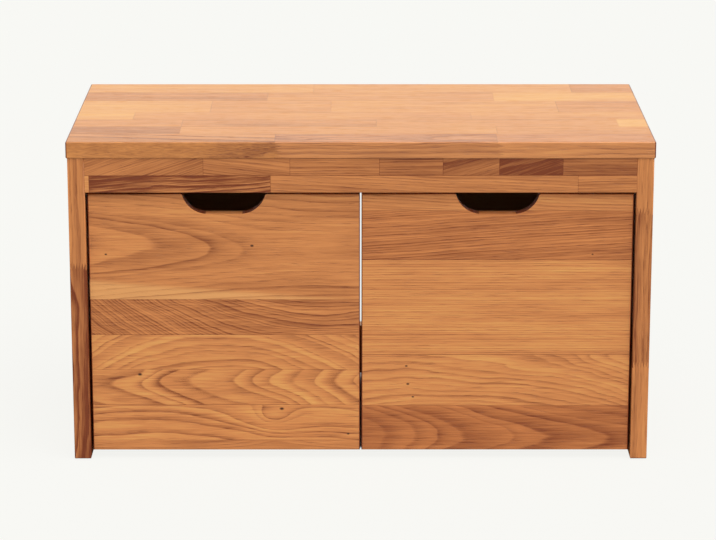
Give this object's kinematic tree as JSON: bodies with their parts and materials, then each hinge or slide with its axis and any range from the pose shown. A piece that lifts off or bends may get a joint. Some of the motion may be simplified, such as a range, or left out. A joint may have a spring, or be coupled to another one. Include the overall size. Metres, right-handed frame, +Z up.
{
  "type": "hall bench",
  "caption": "Oak hall bench: a glued-panel seat on panel sides and rails, over notched drawers that roll out on castors for shoe storage.",
  "frame": {"origin": "on the floor, at the middle of the bench's footprint", "axes": "+X along the bench to the right as seen from the front, +Y to the back, +Z up"},
  "size_m": [0.9, 0.45, 0.51],
  "materials": {
    "oak": "oiled finger-jointed oak, satin",
    "birch_plywood": "sanded birch plywood with layered edges",
    "beech": "plain beech dowel",
    "zinc_steel": "zinc-plated steel",
    "zinc_cast": "cast zinc, dull",
    "hub_nylon": "moulded grey nylon",
    "tyre_rubber": "soft grey-black tread",
    "glide_plastic": "brown moulded plastic",
    "felt": "pressed felt"
  },
  "bodies": {
    "carcass": {"seat_top": "oak", "left_side": "oak", "right_side": "oak", "front_rail": "oak", "rear_top_rail": "oak", "rear_stretcher": "oak", "carcass_dowels": "beech", "cam_bolts": "zinc_steel", "cam_locks": "zinc_cast", "floor_glides": "glide_plastic", "drawer_bumpers": "felt"},
    "left_drawer": {"left_drawer_front": "oak", "left_drawer_left_side": "birch_plywood", "left_drawer_right_side": "birch_plywood", "left_drawer_back": "birch_plywood", "left_drawer_bottom": "birch_plywood", "left_drawer_dowels": "beech", "left_drawer_screws": "zinc_steel", "left_castor_forks": "zinc_steel", "left_castor_axles": "zinc_steel", "left_castor_screws": "zinc_steel"},
    "left_front_left_wheel": {"left_front_left_hub": "hub_nylon", "left_front_left_tyre": "tyre_rubber"},
    "left_front_right_wheel": {"left_front_right_hub": "hub_nylon", "left_front_right_tyre": "tyre_rubber"},
    "left_rear_left_wheel": {"left_rear_left_hub": "hub_nylon", "left_rear_left_tyre": "tyre_rubber"},
    "left_rear_right_wheel": {"left_rear_right_hub": "hub_nylon", "left_rear_right_tyre": "tyre_rubber"},
    "right_drawer": {"right_drawer_front": "oak", "right_drawer_left_side": "birch_plywood", "right_drawer_right_side": "birch_plywood", "right_drawer_back": "birch_plywood", "right_drawer_bottom": "birch_plywood", "right_drawer_dowels": "beech", "right_drawer_screws": "zinc_steel", "right_castor_forks": "zinc_steel", "right_castor_axles": "zinc_steel", "right_castor_screws": "zinc_steel"},
    "right_front_left_wheel": {"right_front_left_hub": "hub_nylon", "right_front_left_tyre": "tyre_rubber"},
    "right_front_right_wheel": {"right_front_right_hub": "hub_nylon", "right_front_right_tyre": "tyre_rubber"},
    "right_rear_left_wheel": {"right_rear_left_hub": "hub_nylon", "right_rear_left_tyre": "tyre_rubber"},
    "right_rear_right_wheel": {"right_rear_right_hub": "hub_nylon", "right_rear_right_tyre": "tyre_rubber"}
  },
  "joints": [
    {"name": "left_drawer_slide", "type": "slide", "parent": "carcass", "child": "left_drawer", "axis": [0, -1, 0], "range_m": [0, 0.45]},
    {"name": "left_front_left_wheel_spin", "type": "hinge", "parent": "left_drawer", "child": "left_front_left_wheel", "pos_m": [-0.368, -0.14, 0.02], "axis": [1, 0, 0], "continuous": true},
    {"name": "left_front_right_wheel_spin", "type": "hinge", "parent": "left_drawer", "child": "left_front_right_wheel", "pos_m": [-0.0522, -0.14, 0.02], "axis": [1, 0, 0], "continuous": true},
    {"name": "left_rear_left_wheel_spin", "type": "hinge", "parent": "left_drawer", "child": "left_rear_left_wheel", "pos_m": [-0.368, 0.1397, 0.02], "axis": [1, 0, 0], "continuous": true},
    {"name": "left_rear_right_wheel_spin", "type": "hinge", "parent": "left_drawer", "child": "left_rear_right_wheel", "pos_m": [-0.0522, 0.1397, 0.02], "axis": [1, 0, 0], "continuous": true},
    {"name": "right_drawer_slide", "type": "slide", "parent": "carcass", "child": "right_drawer", "axis": [0, -1, 0], "range_m": [0, 0.45]},
    {"name": "right_front_left_wheel_spin", "type": "hinge", "parent": "right_drawer", "child": "right_front_left_wheel", "pos_m": [0.0522, -0.14, 0.02], "axis": [1, 0, 0], "continuous": true},
    {"name": "right_front_right_wheel_spin", "type": "hinge", "parent": "right_drawer", "child": "right_front_right_wheel", "pos_m": [0.368, -0.14, 0.02], "axis": [1, 0, 0], "continuous": true},
    {"name": "right_rear_left_wheel_spin", "type": "hinge", "parent": "right_drawer", "child": "right_rear_left_wheel", "pos_m": [0.0522, 0.1397, 0.02], "axis": [1, 0, 0], "continuous": true},
    {"name": "right_rear_right_wheel_spin", "type": "hinge", "parent": "right_drawer", "child": "right_rear_right_wheel", "pos_m": [0.368, 0.1397, 0.02], "axis": [1, 0, 0], "continuous": true}
  ],
  "couplings": [
    {"joint": "left_front_left_wheel_spin", "follows": "left_drawer_slide", "rad_per_m": 50},
    {"joint": "left_front_right_wheel_spin", "follows": "left_drawer_slide", "rad_per_m": 50},
    {"joint": "left_rear_left_wheel_spin", "follows": "left_drawer_slide", "rad_per_m": 50},
    {"joint": "left_rear_right_wheel_spin", "follows": "left_drawer_slide", "rad_per_m": 50},
    {"joint": "right_front_left_wheel_spin", "follows": "right_drawer_slide", "rad_per_m": 50},
    {"joint": "right_front_right_wheel_spin", "follows": "right_drawer_slide", "rad_per_m": 50},
    {"joint": "right_rear_left_wheel_spin", "follows": "right_drawer_slide", "rad_per_m": 50},
    {"joint": "right_rear_right_wheel_spin", "follows": "right_drawer_slide", "rad_per_m": 50}
  ]
}
